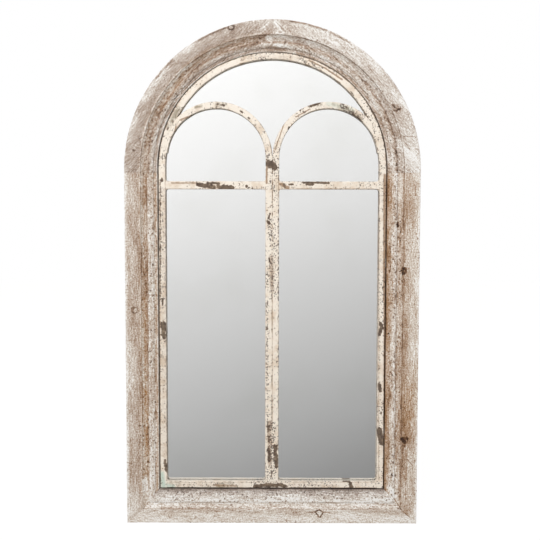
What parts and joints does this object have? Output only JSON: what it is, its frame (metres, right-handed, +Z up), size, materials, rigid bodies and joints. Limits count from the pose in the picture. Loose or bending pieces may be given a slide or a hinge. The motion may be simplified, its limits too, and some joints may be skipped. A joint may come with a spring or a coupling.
{
  "type": "arched window mirror",
  "caption": "Round-headed wall mirror: weathered wooden moulding around a painted iron window grille, with the glass behind it and D-ring hangers on the back.",
  "frame": {"origin": "middle of the frame's foot, halfway through the whole depth", "axes": "+X to the right as seen from the front, -Y out of the glass towards the viewer, +Z up to the crown"},
  "size_m": [0.622, 0.0484, 1.067],
  "materials": {
    "weathered_wood": "whitewashed, weathered, open grain",
    "dowel_wood": "turned beech",
    "painted_iron": "cream paint, chipped to dark iron",
    "silvered_glass": "clear glass, silvered on the back",
    "hardboard": "pressed hardboard, screen face out",
    "plated_steel": "zinc plated",
    "bumper_rubber": "moulded, matt"
  },
  "bodies": {
    "mirror": {"left_stile": "weathered_wood", "right_stile": "weathered_wood", "bottom_rail": "weathered_wood", "left_arch": "weathered_wood", "right_arch": "weathered_wood", "crown_dowels": "dowel_wood", "spring_dowels": "dowel_wood", "mitre_dowels": "dowel_wood", "left_side_bar": "painted_iron", "right_side_bar": "painted_iron", "arch_bar": "painted_iron", "bottom_bar": "painted_iron", "left_mullion_bar": "painted_iron", "right_mullion_bar": "painted_iron", "left_light_arch": "painted_iron", "right_light_arch": "painted_iron", "left_crossbar": "painted_iron", "right_crossbar": "painted_iron", "weld_beads": "painted_iron", "grille_lugs": "plated_steel", "lug_screws": "plated_steel", "mirror_glass": "silvered_glass", "backing_board": "hardboard", "glazing_points": "plated_steel", "left_hanger_strap": "plated_steel", "right_hanger_strap": "plated_steel", "left_hanger_screws": "plated_steel", "right_hanger_screws": "plated_steel", "left_wall_bumper": "bumper_rubber", "right_wall_bumper": "bumper_rubber"},
    "left_ring": {"left_hanger_ring": "plated_steel"},
    "right_ring": {"right_hanger_ring": "plated_steel"}
  },
  "joints": [
    {"name": "left_ring_swing", "type": "hinge", "parent": "mirror", "child": "left_ring", "pos_m": [-0.282, 0.021, 0.735], "axis": [1, 0, 0], "range_deg": [0, 180]},
    {"name": "right_ring_swing", "type": "hinge", "parent": "mirror", "child": "right_ring", "pos_m": [0.282, 0.021, 0.735], "axis": [1, 0, 0], "range_deg": [0, 180]}
  ]
}
